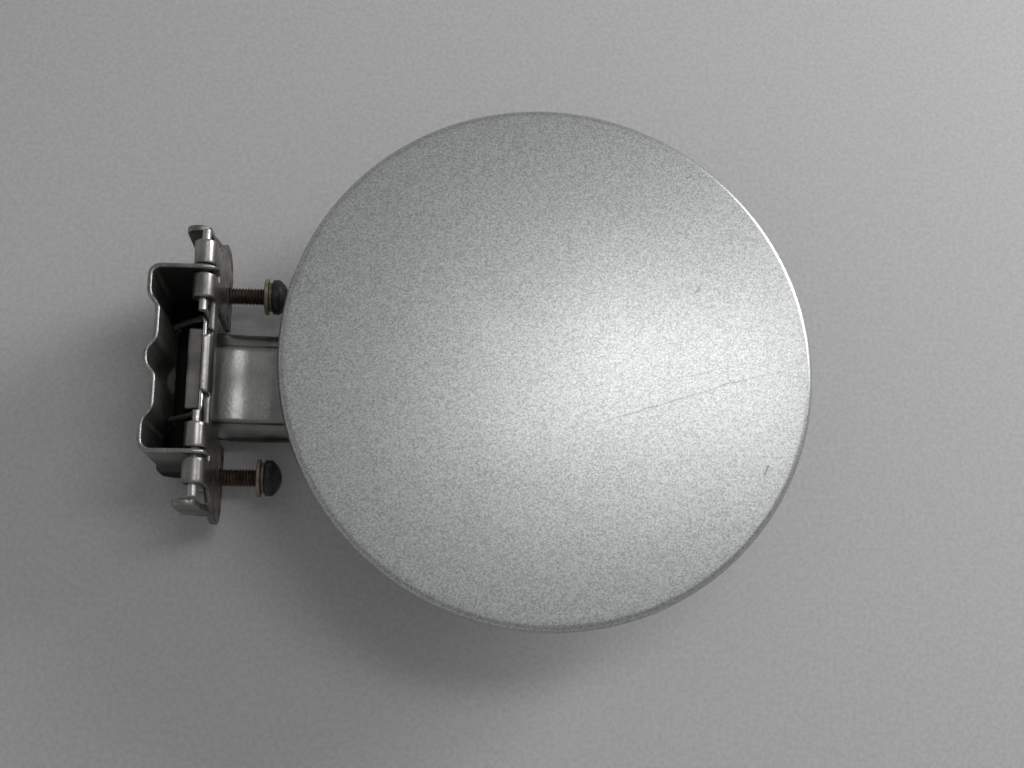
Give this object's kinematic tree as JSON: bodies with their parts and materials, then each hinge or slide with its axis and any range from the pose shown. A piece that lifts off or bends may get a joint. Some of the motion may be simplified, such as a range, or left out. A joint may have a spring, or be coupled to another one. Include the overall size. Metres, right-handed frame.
{
  "type": "fuel filler door with hinge",
  "caption": "Round crowned silver fuel filler door on a pressed gooseneck arm, turning on short pins in a knuckled bracket with a wire spring and fixing screws.",
  "frame": {"origin": "on the mounting face of the hinge bracket, midway between the two screws", "axes": "+X from the hinge to the door, +Y along the hinge pins, +Z out of the painted face"},
  "size_m": [0.2057, 0.165, 0.0566],
  "materials": {
    "door_paint": "silver metallic paint",
    "inner_paint": "silver metallic paint",
    "striker_steel": "plated",
    "arm_paint": "silver metallic paint",
    "bracket_steel": "plated, with some rust",
    "pin_steel": "plain",
    "wire_steel": "bright drawn",
    "screw_steel": "blackened, rusty thread",
    "washer_zinc": "yellowed plating",
    "lock_steel": "stained",
    "nut_steel": "plain"
  },
  "bodies": {
    "bracket": {"hinge_bracket": "bracket_steel", "hinge_pins": "pin_steel", "spring_wire": "wire_steel", "mounting_screws": "screw_steel", "flat_washers": "washer_zinc", "lock_washers": "lock_steel", "weld_nuts": "nut_steel"},
    "door": {"door_skin": "door_paint", "inner_panel": "inner_paint", "hinge_arm": "arm_paint", "latch_striker": "striker_steel"}
  },
  "joints": [
    {"name": "door_hinge", "type": "hinge", "parent": "bracket", "child": "door", "pos_m": [-0.00345, 0, 0.032], "axis": [0, 1, 0], "range_deg": [0, 56], "stiffness_Nm_per_rad": 0.3, "springref_deg": -114.59}
  ]
}
